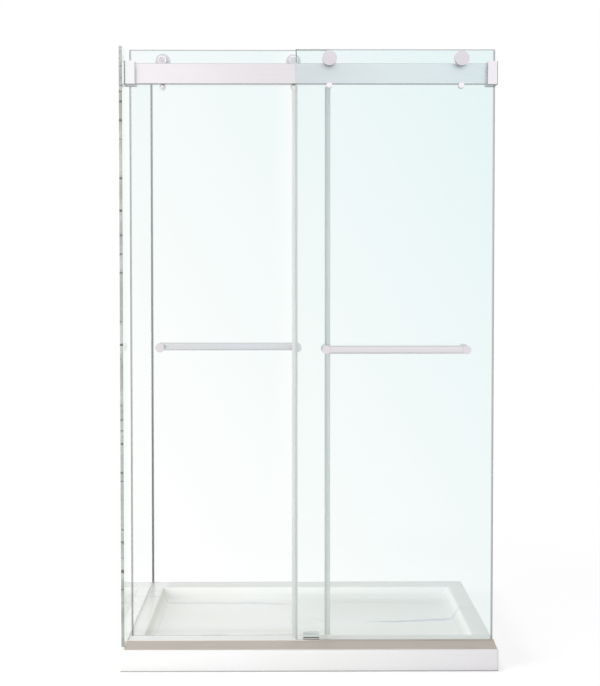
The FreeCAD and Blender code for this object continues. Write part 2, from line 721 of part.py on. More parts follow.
def door(name, side, left, right, top, meeting_edge, outward):
    """One door and its fittings. side is -1 in front of the rail or 1 behind it."""
    middle = f"({left} + {right}) / 2"
    roller_places = [f"{middle} + {end} * roller_spacing / 2" for end in (-1, 1)]
    handle_places = [f"{middle} + {end} * handle_spacing / 2" for end in (-1, 1)]

    def away(distance):
        """A distance from the rail's middle line, as a place along Y."""
        return f"rail_line + {side} * ({distance})"

    def span(near, far):
        """Two distances from the rail's middle line, in order along Y."""
        return (away(near), away(far)) if side > 0 else (away(far), away(near))

    def lathe(part, x, z, corners):
        """A piece turned about a line along Y, its lengths measured from the rail's middle line."""
        signed = [(radius, f"{side} * ({distance})") for radius, distance in corners]
        return turned(f"{name}_{part}", "Y", (x, "rail_line", z), signed)

    def bushes(part, x, z, hole_radius, bore_radius, extra):
        """A pair of flanged plastic bushes that meet in the middle of a glass hole."""
        sleeve = f"{hole_radius} - bush_fit"
        flange = f"{hole_radius} + {extra}"
        middle_of_glass = "(glass_near + glass_far) / 2"
        pair = []
        for face, flange_end in (("glass_near", "bush_near"), ("glass_far", "bush_far")):
            pair.append(lathe(part, x, z, [
                (bore_radius, middle_of_glass),
                (sleeve, middle_of_glass),
                (sleeve, face),
                (flange, face),
                (flange, flange_end),
                (bore_radius, flange_end),
            ]))
        return pair

    holes = []
    hole_rows = (
        (roller_places, "roller_axis", "roller_hole_radius"),
        (roller_places, "jump_axis", "jump_hole_radius"),
        (handle_places, "handle_axis", "handle_hole_radius"),
    )
    glass_y = span("glass_near", "glass_far")
    for places, height, radius in hole_rows:
        for x in places:
            holes.append(rod(f"{name}_hole", "Y", (x, glass_y[0], height), radius, "glass_thickness"))
    node(glass_pane(f"{name}_sheet", (left, right), glass_y, top, holes), f"{name}_glass")

    edge_out = f"{meeting_edge} + {outward} * seal_wall"
    edge_in = f"{meeting_edge} - {outward} * seal_leg"
    fin_tip = f"{meeting_edge} + {outward} * seal_fin_reach"
    fin_end = "glass_near - seal_wall - seal_fin_drop"
    seal_corners = [
        (edge_out, away("glass_far + seal_wall")),
        (edge_out, away("glass_near")),
        (f"{fin_tip} + {outward} * seal_wall", away(fin_end)),
        (fin_tip, away(fin_end)),
        (meeting_edge, away("glass_near - seal_wall")),
        (edge_in, away("glass_near - seal_wall")),
        (edge_in, away("glass_near")),
        (meeting_edge, away("glass_near")),
        (meeting_edge, away("glass_far")),
        (edge_in, away("glass_far")),
        (edge_in, away("glass_far + seal_wall")),
    ]
    seal = extruded(f"{name}_strip", "XY_Plane", [seal_corners], "seal_top - seal_bottom", z="seal_bottom")
    node(seal, f"{name}_overlap_seal")

    fittings = {}

    def add(kind, *pieces):
        fittings.setdefault(kind, []).extend(pieces)

    spindle = "bearing_bore - spindle_clearance"
    for x in roller_places:
        add("roller_bushes", *bushes("roller_bush", x, "roller_axis", "roller_hole_radius",
                                     "roller_stud_radius", "bush_flange_extra"))
        add("roller_hubs", lathe("hub", x, "roller_axis", [
            ("retainer_thread_radius", "spindle_tip"),
            (spindle, "spindle_tip"),
            (spindle, "bearing_far + side_play"),
            ("shoulder_radius", "bearing_far + side_play"),
            ("shoulder_radius", "hub_face"),
            ("hub_radius", "hub_face"),
            ("hub_radius", "bush_near"),
            ("roller_stud_radius", "bush_near"),
            ("roller_stud_radius", "bush_far + roller_stud_reach"),
            ("0", "bush_far + roller_stud_reach"),
            ("0", "spindle_tip + retainer_thread_length"),
            ("retainer_thread_radius", "spindle_tip + retainer_thread_length"),
        ]))
        add("roller_retainers", lathe("retainer", x, "roller_axis", [
            ("0", "spindle_tip - retainer_thickness"),
            ("retainer_radius", "spindle_tip - retainer_thickness"),
            ("retainer_radius", "spindle_tip"),
            ("retainer_thread_radius", "spindle_tip"),
            ("retainer_thread_radius", "spindle_tip + retainer_thread_length"),
            ("0", "spindle_tip + retainer_thread_length"),
        ]))
        add("roller_caps", lathe("roller_cap", x, "roller_axis", [
            ("roller_stud_radius", "bush_far"),
            ("roller_cap_radius", "bush_far"),
            ("roller_cap_radius", "bush_far + roller_cap_thickness - cap_edge"),
            ("roller_cap_radius - cap_edge", "bush_far + roller_cap_thickness"),
            ("0", "bush_far + roller_cap_thickness"),
            ("0", "bush_far + roller_stud_reach"),
            ("roller_stud_radius", "bush_far + roller_stud_reach"),
        ]))
        add("anti_jump_bushes", *bushes("jump_bush", x, "jump_axis", "jump_hole_radius",
                                        "jump_stud_radius", "jump_bush_flange_extra"))
        add("anti_jump_pins", lathe("jump_pin", x, "jump_axis", [
            ("0", "jump_pin_tip"),
            ("jump_pin_radius", "jump_pin_tip"),
            ("jump_pin_radius", "bush_near - jump_flange_thickness"),
            ("jump_flange_radius", "bush_near - jump_flange_thickness"),
            ("jump_flange_radius", "bush_near"),
            ("jump_stud_radius", "bush_near"),
            ("jump_stud_radius", "bush_far + jump_stud_reach"),
            ("0", "bush_far + jump_stud_reach"),
        ]))
        add("anti_jump_caps", lathe("jump_cap", x, "jump_axis", [
            ("jump_stud_radius", "bush_far"),
            ("jump_flange_radius", "bush_far"),
            ("jump_flange_radius", "bush_far + jump_cap_thickness / 2"),
            ("jump_flange_radius - jump_cap_thickness / 2", "bush_far + jump_cap_thickness"),
            ("0", "bush_far + jump_cap_thickness"),
            ("0", "bush_far + jump_stud_reach"),
            ("jump_stud_radius", "bush_far + jump_stud_reach"),
        ]))

    cap_end = "bush_near - handle_cap_thickness"
    cap_floor = f"{cap_end} + handle_cap_skin"
    for x in handle_places:
        add("handle_bushes", *bushes("handle_bush", x, "handle_axis", "handle_hole_radius",
                                     "handle_stud_radius", "bush_flange_extra"))
        add("handle_posts", lathe("post", x, "handle_axis", [
            ("handle_stud_radius", "bush_far"),
            ("post_radius", "bush_far"),
            ("post_radius", "post_end - cap_edge"),
            ("post_radius - cap_edge", "post_end"),
            ("0", "post_end"),
            ("0", "bush_far + handle_stud_reach"),
            ("handle_stud_radius", "bush_far + handle_stud_reach"),
        ]))
        add("handle_studs", lathe("stud", x, "handle_axis", [
            ("0", cap_floor),
            ("handle_stud_radius", cap_floor),
            ("handle_stud_radius", "bush_far + handle_stud_reach"),
            ("0", "bush_far + handle_stud_reach"),
        ]))
        add("handle_caps", lathe("handle_cap", x, "handle_axis", [
            ("handle_stud_radius", "bush_near"),
            ("handle_cap_radius", "bush_near"),
            ("handle_cap_radius", f"{cap_end} + cap_edge"),
            ("handle_cap_radius - cap_edge", cap_end),
            ("0", cap_end),
            ("0", cap_floor),
            ("handle_stud_radius", cap_floor),
        ]))
    for kind, pieces in fittings.items():
        node(group(f"{name}_{kind}_set", pieces), f"{name}_{kind}")

    bar_start = (handle_places[0], away("bar_line"), "handle_axis")
    post_rods = []
    for x in handle_places:
        post_start = (x, span("bush_far", "post_end")[0], "handle_axis")
        post_rods.append(rod(f"{name}_cope", "Y", post_start, "post_radius", "post_end - bush_far"))
    bar = rod(f"{name}_bar", "X", bar_start, "bar_radius", "handle_spacing")
    bar_inside = rod(f"{name}_bar_inside", "X", bar_start, "bar_radius - bar_wall", "handle_spacing")
    node(cut(f"{name}_rail_bar", cut(f"{name}_tube", bar, [bar_inside]), post_rods), f"{name}_handle_bar")

    for x, end in zip(roller_places, ("left", "right")):
        half_tread = "wheel_width / 2"
        half_groove = "groove_width / 2"
        node(lathe(f"tread_{end}", x, "roller_axis", [
            ("bearing_radius", f"lane_offset - {half_tread}"),
            ("wheel_radius", f"lane_offset - {half_tread}"),
            ("wheel_radius", f"lane_offset - {half_groove}"),
            ("groove_radius", f"lane_offset - {half_groove}"),
            ("groove_radius", f"lane_offset + {half_groove}"),
            ("wheel_radius", f"lane_offset + {half_groove}"),
            ("wheel_radius", f"lane_offset + {half_tread}"),
            ("bearing_radius", f"lane_offset + {half_tread}"),
        ]), f"{name}_{end}_wheel")
        half_bearing = [
            ("bearing_radius", "bearing_width / 2"),
            ("bearing_radius - bearing_ring", "bearing_width / 2"),
            ("bearing_radius - bearing_ring", "bearing_width / 2 - bearing_recess"),
            ("bearing_bore + bearing_ring", "bearing_width / 2 - bearing_recess"),
            ("bearing_bore + bearing_ring", "bearing_width / 2"),
            ("bearing_bore", "bearing_width / 2"),
        ]
        bearing = [(radius, f"lane_offset + {across}") for radius, across in half_bearing]
        bearing += [(radius, f"lane_offset - ({across})") for radius, across in reversed(half_bearing)]
        node(lathe(f"race_{end}", x, "roller_axis", bearing), f"{name}_{end}_bearing")


door("outer", -1, "outer_left", "outer_right", "outer_top", "outer_left", -1)
door("inner", 1, "inner_left", "inner_right", "glass_top", "inner_right", 1)

doc.recompute()
faults = [piece.Label for piece in doc.Objects if {"Invalid", "Error"} & set(piece.State)]
for piece in nodes:
    if piece.Shape.isNull() or not piece.Shape.isValid():
        faults.append(piece.Label)
if faults:
    raise RuntimeError(f"These objects failed: {', '.join(faults)}")

os.makedirs("parts", exist_ok=True)
for piece in nodes:
    piece.Shape.exportStep(f"parts/{piece.Label}.step")
    print(piece.Label, len(piece.Shape.Solids), round(piece.Shape.Volume))
print(len(nodes), "sub-parts")
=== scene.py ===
import json
import math

import bmesh
import bpy
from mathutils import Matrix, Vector


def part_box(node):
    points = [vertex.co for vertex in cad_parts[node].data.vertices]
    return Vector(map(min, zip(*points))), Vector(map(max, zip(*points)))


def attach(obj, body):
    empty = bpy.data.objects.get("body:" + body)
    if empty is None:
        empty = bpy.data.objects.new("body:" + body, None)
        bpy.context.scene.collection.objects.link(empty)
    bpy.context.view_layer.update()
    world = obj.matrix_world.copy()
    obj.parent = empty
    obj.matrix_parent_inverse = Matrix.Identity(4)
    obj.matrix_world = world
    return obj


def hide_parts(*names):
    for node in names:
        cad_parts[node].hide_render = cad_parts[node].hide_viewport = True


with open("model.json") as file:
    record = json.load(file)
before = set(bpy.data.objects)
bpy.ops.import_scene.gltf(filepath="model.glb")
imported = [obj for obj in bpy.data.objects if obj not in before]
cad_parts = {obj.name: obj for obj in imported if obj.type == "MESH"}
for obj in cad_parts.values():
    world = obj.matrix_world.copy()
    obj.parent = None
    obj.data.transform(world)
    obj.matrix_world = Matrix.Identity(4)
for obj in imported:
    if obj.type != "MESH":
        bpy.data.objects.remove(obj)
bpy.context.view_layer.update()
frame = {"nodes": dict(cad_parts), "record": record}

MM = 0.001
NODES = frame["nodes"]
RECORD = frame["record"]
SLOT_OF = {part["node"]: part["material_slot"] for part in RECORD["subparts"]}
BODY_OF = {node: body for body, nodes in RECORD["behaviour"]["bodies"].items() for node in nodes}
DOORS = ("outer", "inner")
ALONG_X, ALONG_Y, ALONG_Z = Vector((1, 0, 0)), Vector((0, 1, 0)), Vector((0, 0, 1))

# Tray sizes: rims, basin, drain recess, rounds and foot
tray_low, tray_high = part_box("shower_tray")
SIDE_RIM, FRONT_RIM, BACK_RIM = 61 * MM, 170 * MM, 85 * MM
WALL_RUN, BASIN_DEPTH, BASIN_FALL = 26 * MM, 42 * MM, 8 * MM
BASIN_X = tray_high.x - SIDE_RIM
BASIN_FRONT, BASIN_BACK = tray_low.y + FRONT_RIM, tray_high.y - BACK_RIM
FLOOR_EDGE = tray_high.z - BASIN_DEPTH
FLOOR_LOW = FLOOR_EDGE - BASIN_FALL
RECESS_RADIUS, RECESS_DEPTH, SUMP_MARGIN, PIPE_HOLE = 58 * MM, 9 * MM, 6 * MM, 35.25 * MM
RECESS_FLOOR = FLOOR_LOW - RECESS_DEPTH
SUMP_HALF = RECESS_RADIUS + SUMP_MARGIN
TRAY_ROUND, RIM_ROUND = 6 * MM, 5 * MM
FOOT_INSET, FOOT_HEIGHT = 2.5 * MM, 3 * MM


def srgb(red, green, blue):
    """A colour read on screen, from 0 to 255, as the linear colour that a shader takes."""
    def linear(level):
        share = level / 255
        return share / 12.92 if share <= 0.04045 else ((share + 0.055) / 1.055) ** 2.4
    return (linear(red), linear(green), linear(blue), 1.0)


def shade_of(colour, share):
    """The same colour at a share of its brightness."""
    return tuple(share * level for level in colour[:3]) + (1.0,)


# Shader graph helpers

GRAIN_DEPTH = 0.2 * MM


def mix_shaders(tree, share, first, second):
    """Two shaders mixed by a share."""
    node = tree.nodes.new("ShaderNodeMixShader")
    for source, target in zip((share, first, second), node.inputs):
        tree.links.new(source, target)
    return node.outputs[0]


class Finish:
    """A material with one Principled shader and short ways to feed its sockets."""

    def __init__(self, name, **sockets):
        self.material = bpy.data.materials.new(name)
        self.material.use_nodes = True
        self.tree = self.material.node_tree
        self.shader = self.tree.nodes["Principled BSDF"]
        self.place = self.tree.nodes.new("ShaderNodeTexCoord")
        for socket, value in sockets.items():
            self.shader.inputs[socket.replace("_", " ").title().replace("Ior", "IOR")].default_value = value

    def link(self, source, target):
        """Join an output to an input, or set the input to a plain value."""
        if isinstance(source, bpy.types.NodeSocket):
            self.tree.links.new(source, target)
        else:
            target.default_value = source

    def feed(self, socket, source):
        """Give one of the shader's sockets an output or a plain value."""
        self.link(source, self.shader.inputs[socket])

    def calc(self, operation, *values):
        """A Math node's result."""
        node = self.tree.nodes.new("ShaderNodeMath")
        node.operation = operation
        for value, target in zip(values, node.inputs):
            self.link(value, target)
        return node.outputs[0]

    def chain(self, operation, values):
        """A Math operation carried along several values."""
        result, *others = values
        for value in others:
            result = self.calc(operation, result, value)
        return result

    def product(self, *values):
        """Several values multiplied."""
        return self.chain("MULTIPLY", values)

    def strongest(self, *values):
        """The largest of several values."""
        return self.chain("MAXIMUM", values)

    def distance(self, value, target):
        """How far a value lies from another, on either side."""
        return self.calc("ABSOLUTE", self.calc("SUBTRACT", value, target))

    def ramp(self, value, from_low, from_high, to_low=0.0, to_high=1.0, smooth=False):
        """A value moved from one range to another, held at its ends."""
        node = self.tree.nodes.new("ShaderNodeMapRange")
        node.interpolation_type = "SMOOTHSTEP" if smooth else "LINEAR"
        self.link(value, node.inputs["Value"])
        for socket, bound in zip(("From Min", "From Max", "To Min", "To Max"),
                                 (from_low, from_high, to_low, to_high)):
            node.inputs[socket].default_value = bound
        return node.outputs[0]

    def mix(self, share, first, second):
        """Two colours mixed by a share, on a Mix node's colour sockets."""
        node = self.tree.nodes.new("ShaderNodeMix")
        node.data_type = "RGBA"
        self.link(share, node.inputs[0])
        self.link(first, node.inputs[6])
        self.link(second, node.inputs[7])
        return node.outputs[2]

    def axes(self, socket):
        """The X, Y and Z of the Object or Normal coordinate."""
        node = self.tree.nodes.new("ShaderNodeSeparateXYZ")
        self.link(self.place.outputs[socket], node.inputs[0])
        return node.outputs

    def noise(self, scale, detail=3.0, roughness=0.5, stretch=(1, 1, 1)):
        """Noise on the Object coordinate, from 0 to 1."""
        mapping = self.tree.nodes.new("ShaderNodeMapping")
        mapping.inputs["Scale"].default_value = stretch
        self.link(self.place.outputs["Object"], mapping.inputs["Vector"])
        node = self.tree.nodes.new("ShaderNodeTexNoise")
        node.inputs["Scale"].default_value = scale
        node.inputs["Detail"].default_value = detail
        node.inputs["Roughness"].default_value = roughness
        self.link(mapping.outputs[0], node.inputs["Vector"])
        return node.outputs["Fac"]

    def bump(self, height, strength):
        """Fine relief from a height value."""
        node = self.tree.nodes.new("ShaderNodeBump")
        node.inputs["Strength"].default_value = strength
        node.inputs["Distance"].default_value = GRAIN_DEPTH
        self.link(height, node.inputs["Height"])
        self.feed("Normal", node.outputs[0])


# Finishes

# The range that most of a noise's values lie in, and a wider one
NOISE_SPAN, WIDE_SPAN = (0.3, 0.7), (0.25, 0.75)
# Steel: stretches of the noise that make lines along one axis or an even grain, and the scale of its clouds
LINES_ALONG_X, LINES_ALONG_Z, TURNED = (4, 900, 900), (900, 900, 4), (260, 260, 260)
STEEL_CLOUDS = 9.0
# What brushed lines and clouds take from and add to its roughness
LINE_SMOOTHER, LINE_ROUGHER, CLOUD_ROUGHNESS = 0.05, 0.07, (-0.02, 0.02)
# The normal at which a steel face begins to take painted shade, and at which that painted shade is full
POINTS_DOWN, POINTS_SIDEWAYS, POINTS_UP, LEAVES_Y = (-0.15, -0.9), (0.35, 0.95), (0.75, 0.95), (0.6, 0.2)
# Brightness of a brushed line and of painted shade on steel, and how much painted shade a roller track takes
LINE_SHADE, PAINTED_SHADE_BRIGHTNESS, TRACK_PAINTED_SHADE = 0.94, 0.15, 0.4
# Where the rail's stretch of painted shade begins and is full, and where it fades and ends, along X
MIDDLE_BEGINS, MIDDLE_ENDS = (-0.55, -0.08), (-0.06, 0.3)


def brushed_steel(name, colour, grain, roughness=0.3, below=0.0, beside=0.0, above=0.0, around=0.0,
                  track=None, middle=0.0):
    """Satin steel with the brushed lines or turned grain of a stretched noise.

    Faces that point down, sideways, up or away from the Y axis take painted shade by the share given for
    each. So does what lies above the height of a track and, by the share given as middle, a soft stretch
    along X."""
    finish = Finish(name, metallic=1.0)
    place = finish.axes("Object")
    nx, ny, nz = finish.axes("Normal")
    lines = finish.noise(1.0, detail=5, roughness=0.65, stretch=grain)
    clouds = finish.noise(STEEL_CLOUDS, detail=2)
    turns = (
        (below, nz, POINTS_DOWN),
        (beside, finish.calc("ABSOLUTE", nx), POINTS_SIDEWAYS),
        (above, nz, POINTS_UP),
        (around, finish.calc("ABSOLUTE", ny), LEAVES_Y),
    )
    # Painted shade by the way a face points, above the track and along the rail's middle
    painted_shades = [finish.ramp(turn, *span, 0.0, share) for share, turn, span in turns if share]
    if track is not None:
        painted_shades.append(finish.ramp(place[2], track, track + MM, 0.0, TRACK_PAINTED_SHADE))
    if middle:
        begun = finish.ramp(place[0], *MIDDLE_BEGINS, 0.0, middle, smooth=True)
        ended = finish.ramp(place[0], *MIDDLE_ENDS, middle, 0.0, smooth=True)
        painted_shades.append(finish.calc("MINIMUM", begun, ended))
    streaked = finish.mix(finish.ramp(lines, *NOISE_SPAN), colour, shade_of(colour, LINE_SHADE))
    finish.feed("Base Color", finish.mix(finish.strongest(*painted_shades), streaked, shade_of(colour, PAINTED_SHADE_BRIGHTNESS)))
    streaks = finish.ramp(lines, *WIDE_SPAN, roughness - LINE_SMOOTHER, roughness + LINE_ROUGHER)
    finish.feed("Roughness", finish.calc("ADD", streaks, finish.ramp(clouds, *NOISE_SPAN, *CLOUD_ROUGHNESS)))
    finish.bump(lines, strength=0.05)
    return finish.material


PLASTIC_GRAIN, PLASTIC_CLOUDS, PLASTIC_SHADE, PLASTIC_SPREAD = 1400.0, 14.0, 0.88, 0.06


def moulded(name, colour, roughness, **sockets):
    """Moulded plastic or rubber with a fine even texture."""
    finish = Finish(name, **sockets)
    grain = finish.noise(PLASTIC_GRAIN, detail=2)
    clouds = finish.noise(PLASTIC_CLOUDS, detail=3)
    shade = shade_of(colour, PLASTIC_SHADE)
    finish.feed("Base Color", finish.mix(finish.ramp(clouds, *NOISE_SPAN), colour, shade))
    smooth, rough = roughness - PLASTIC_SPREAD, roughness + PLASTIC_SPREAD
    finish.feed("Roughness", finish.ramp(grain, *NOISE_SPAN, smooth, rough))
    finish.bump(grain, strength=0.08)
    return finish.material


CLEAR_IOR = 1.5
VINYL_LINES, VINYL_SPAN, VINYL_SHADE, VINYL_ROUGHNESS = (900, 900, 3), (0.35, 0.65), 0.85, (0.28, 0.42)


def vinyl(name, colour, clear):
    """Extruded clear vinyl: milky, with faint drawing lines along its length."""
    finish = Finish(name, transmission_weight=clear, ior=CLEAR_IOR)
    lines = finish.noise(1.0, detail=3, stretch=VINYL_LINES)
    shade = shade_of(colour, VINYL_SHADE)
    finish.feed("Base Color", finish.mix(finish.ramp(lines, *VINYL_SPAN), colour, shade))
    finish.feed("Roughness", finish.ramp(lines, *NOISE_SPAN, *VINYL_ROUGHNESS))
    finish.bump(lines, strength=0.1)
    return finish.material


RAIL_TOP, RIB_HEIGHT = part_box("top_rail")[1].z, 2.5 * MM
# The tint's growth up and to the right is painted shade of the backdrop seen through the glass
# Tint of the glass: its colours, its share at the origin and per metre up and right, and how far it fades
TINT_CLEAR, TINT_DEEP = srgb(254, 255, 254), srgb(230, 245, 245)
TINT_BASE, PAINTED_TINT_PER_RISE, PAINTED_TINT_PER_REACH, TINT_FADE = 0.07, 0.335, 0.5635, 100 * MM
# Bands of painted shade beside a sheet's edges: their widths, the share of a width that is full, their shades
EDGE_BAND, MEETING_BAND, TOP_BAND, BAND_FULL = 7 * MM, 3.5 * MM, 3.6 * MM, 0.8
BAND_SHADE_LOW, BAND_SHADE_HIGH, MEETING_SHADE = srgb(176, 178, 179), srgb(190, 194, 194), srgb(112, 117, 117)
# Edges of a sheet: pale, dull and nicked tones, the scales, stretch and spans of their marks, their clearness
POLISHED_EDGE = (srgb(178, 183, 181), srgb(166, 172, 169), srgb(146, 152, 149))
SEAMED_EDGE = (srgb(188, 195, 187), srgb(158, 164, 156), srgb(84, 89, 82))
EDGE_RUN, EDGE_NICKS, EDGE_STRETCH = 14.0, 66.0, (0.2, 0.2, 1)
DULL_SPAN, NICK_SPAN = (0.38, 0.6), (0.575, 0.63)
EDGE_CLEAR, EDGE_ROUGHNESS, FACE_ROUGHNESS = 0.25, 0.3, 0.015
# The normal at which an edge turns into a face, and at which it turns into the edge underneath
FACE_TURN, UNDER_TURN = (0.8, 0.9), (-0.7, -0.5)
PASSING_TINT = (0.97, 0.985, 0.98, 1)
# The axis through a sheet
ACROSS_X, ACROSS_Y = 0, 1


def sheet_tint_and_painted_shade(finish, place, tint_to):
    """A sheet's blue-green tint, with painted shade deepening it up and right, fading out round tint_to along
    X.
    """
    rise = finish.calc("MULTIPLY_ADD", place[2], PAINTED_TINT_PER_RISE, TINT_BASE)
    tint = finish.calc("MULTIPLY_ADD", place[0], PAINTED_TINT_PER_REACH, rise)
    if tint_to is not None:
        fading = finish.ramp(place[0], tint_to - TINT_FADE, tint_to + TINT_FADE / 2, 1.0, 0.0, smooth=True)
        tint = finish.product(tint, fading)
    return finish.mix(finish.ramp(tint, 0.0, 1.0), TINT_CLEAR, TINT_DEEP)


def door_bands(finish, place, node, faces, face):
    """A door's sheet with painted shade beside its top and its free side and, above the rail, its meeting
    side.
    """
    low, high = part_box(node)
    free, meeting = (low.x, high.x) if faces < 0 else (high.x, low.x)
    from_free, from_meeting = finish.distance(place[0], free), finish.distance(place[0], meeting)
    at_top = finish.ramp(place[2], high.z - TOP_BAND, high.z - TOP_BAND * BAND_FULL)
    at_free = finish.ramp(from_free, EDGE_BAND * BAND_FULL, EDGE_BAND, 1.0, 0.0)
    at_meeting = finish.ramp(from_meeting, MEETING_BAND * BAND_FULL, MEETING_BAND, 1.0, 0.0)
    above_rail = finish.ramp(place[2], RAIL_TOP, RAIL_TOP + MM)
    band_shade = finish.mix(finish.ramp(place[2], low.z, high.z), BAND_SHADE_LOW, BAND_SHADE_HIGH)
    banded = finish.mix(finish.strongest(at_top, at_free), face, band_shade)
    return finish.mix(finish.product(at_meeting, above_rail), banded, MEETING_SHADE)


def let_soft_light_through(finish):
    """Shadow rays, scattered rays and rays off a glossy face go straight through, with a faint tint."""
    clear = finish.tree.nodes.new("ShaderNodeBsdfTransparent")
    clear.inputs["Color"].default_value = PASSING_TINT
    path = finish.tree.nodes.new("ShaderNodeLightPath").outputs
    mirrored = finish.calc("SUBTRACT", path["Is Glossy Ray"], path["Is Transmission Ray"])
    passing = finish.strongest(path["Is Shadow Ray"], path["Is Diffuse Ray"], mirrored)
    joined = mix_shaders(finish.tree, passing, finish.shader.outputs[0], clear.outputs[0])
    finish.link(joined, finish.tree.nodes["Material Output"].inputs["Surface"])


def pane_glass(node, across, edge_tones, faces=0, tint_to=None):
    """Clear toughened glass with a faint tint, toned edges and painted shade in the tint and by a door's
    edges.

    across is the axis through the sheet. A door's free side faces -1, left, or 1, right, and its other side
    meets the next door. The tint fades out round tint_to, where another sheet begins."""
    finish = Finish(f"{node}_finish", ior=CLEAR_IOR)
    place, normal = finish.axes("Object"), finish.axes("Normal")
    face = sheet_tint_and_painted_shade(finish, place, tint_to)
    if faces:
        face = door_bands(finish, place, node, faces, face)
    off_face = finish.ramp(finish.calc("ABSOLUTE", normal[across]), *FACE_TURN, 1.0, 0.0)
    on_edge = finish.product(off_face, finish.ramp(normal[2], *UNDER_TURN))
    pale, dull, nicked = edge_tones
    run = finish.noise(EDGE_RUN, detail=3, roughness=0.6, stretch=EDGE_STRETCH)
    nicks = finish.noise(EDGE_NICKS, detail=2, stretch=EDGE_STRETCH)
    edge = finish.mix(finish.ramp(run, *DULL_SPAN), pale, dull)
    edge = finish.mix(finish.ramp(nicks, *NICK_SPAN), edge, nicked)
    finish.feed("Base Color", finish.mix(on_edge, face, edge))
    finish.feed("Transmission Weight", finish.ramp(on_edge, 0.0, 1.0, 1.0, EDGE_CLEAR))
    finish.feed("Roughness", finish.ramp(on_edge, 0.0, 1.0, FACE_ROUGHNESS, EDGE_ROUGHNESS))
    let_soft_light_through(finish)
    return finish.material


# Veins in the tray's casting: the line's place along Y, where it starts and ends along X, and its strength
VEINS = (
    (0.045, 0.20, 0.58, 0.95),
    (0.29, -0.60, -0.02, 0.5),
    (0.214, -0.62, -0.50, 0.85),
    (0.04, 0.50, 0.62, 0.55),
    (-0.12, -0.40, 0.10, 0.25),
    (0.30, 0.05, 0.55, 0.22),
)
VEIN_WIDTH, VEIN_FADE, VEIN_WANDER = 21 * MM, 90 * MM, 120 * MM
# The casting's noises: scales of the veins' wander, the clouds and the grain, then how the clouds are used
CAST_WANDER, CAST_CLOUDS, CAST_GRAIN = 3.2, 2.4, 500.0
CLOUD_STRETCH, CREAM_SPAN, CAST_ROUGHNESS = (0.6, 1.4, 1), (0.35, 0.7), (0.3, 0.4)
CAST_WHITE, CAST_CREAM, VEIN_GREY = srgb(250, 250, 250), srgb(246, 245, 240), srgb(190, 198, 208)
# Colours of painted shade on the rims, floor, walls and apron, and of the painted shadow along the foot
SHADE_GREY, WALL_PAINTED_SHADE = srgb(200, 202, 199), srgb(206, 205, 194)
APRON_PAINTED_SHADE, FOOT_PAINTED_SHADOW = srgb(243, 240, 245), srgb(120, 117, 122)
# Painted shade and shadow on the casting: where each starts and ends along X, Y or Z, and its share at either
# end
RIM_TO_RIGHT, RIM_TO_BACK = (-0.6, 0.1, 0.05, 0.45), (BASIN_BACK - RIM_ROUND, BASIN_BACK, 0.0, 0.5)
FLOOR_TO_RIGHT, FLOOR_TO_BACK = (-0.15, 0.1, 0.3, 1.0), (-0.26, BASIN_BACK - WALL_RUN, 0.08, 0.45)
APRON_TO_RIGHT, FOOT_SHADOW_TO_TOP = (0.0, 0.6, 0.0, 0.75), (FOOT_HEIGHT, FOOT_HEIGHT + MM, 0.6, 0.0)
# Painted shade on the basin's walls by the way they face: the normal where each starts and is full, its
# shares
LEFT_WALL, RIGHT_WALL = (0.3, 0.7, 0.0, 0.72), (-0.3, -0.7, 0.0, 0.38)
# The normals at which a face begins to count, and counts in full, as a rim or as the apron, then heights
FACES_UP, FACES_FRONT = (0.7, 0.95), (-0.5, -0.9)
FLOOR_TO_RIM = (FLOOR_EDGE, FLOOR_EDGE + 30 * MM)
COVE_FOOT, COVE_TOP = FLOOR_EDGE + 6 * MM, FLOOR_EDGE + 32 * MM


def cast_veins(finish, place):
    """The depth of the veins: lines along X that wander together."""
    wander = finish.noise(CAST_WANDER, detail=4, roughness=0.6)
    veins = []
    for across, start, end, strength in VEINS:
        line = finish.calc("MULTIPLY_ADD", wander, VEIN_WANDER, across - VEIN_WANDER / 2)
        depth = finish.ramp(finish.distance(place[1], line), 0.0, VEIN_WIDTH, strength, 0.0, smooth=True)
        begun = finish.ramp(place[0], start, start + VEIN_FADE)
        ended = finish.ramp(place[0], end - VEIN_FADE, end, 1.0, 0.0)
        veins.append(finish.product(depth, begun, ended))
    return finish.strongest(*veins)


def rim_shade(finish, place, normal):
    """The painted shade on the rims, which grows to the right and at the back."""
    on_rim = finish.product(finish.ramp(normal[2], *FACES_UP), finish.ramp(place[2], *FLOOR_TO_RIM))
    off_left_rim = finish.ramp(place[0], -BASIN_X, -BASIN_X + WALL_RUN)
    to_back = finish.product(finish.ramp(place[1], *RIM_TO_BACK), off_left_rim)
    return finish.product(on_rim, finish.strongest(finish.ramp(place[0], *RIM_TO_RIGHT), to_back))


def basin_shades(finish, place, normal):
    """The painted shade up the left wall, and that on the floor and the foot of the right wall."""
    up_wall = finish.ramp(place[2], COVE_FOOT, COVE_TOP, smooth=True)
    in_basin = finish.product(
        finish.ramp(finish.calc("ABSOLUTE", place[0]), BASIN_X, BASIN_X + MM, 1.0, 0.0),
        finish.ramp(place[1], BASIN_BACK, BASIN_BACK + MM, 1.0, 0.0),
        finish.ramp(place[1], BASIN_FRONT - MM, BASIN_FRONT),
    )
    left_wall = finish.product(finish.ramp(normal[0], *LEFT_WALL), up_wall, in_basin)
    on_floor = finish.product(finish.ramp(place[1], *FLOOR_TO_BACK), finish.ramp(place[0], *FLOOR_TO_RIGHT))
    right_wall = finish.ramp(normal[0], *RIGHT_WALL)
    low_down = finish.product(in_basin, finish.ramp(up_wall, 0.0, 1.0, 1.0, 0.0))
    return left_wall, finish.product(finish.strongest(on_floor, right_wall), low_down)


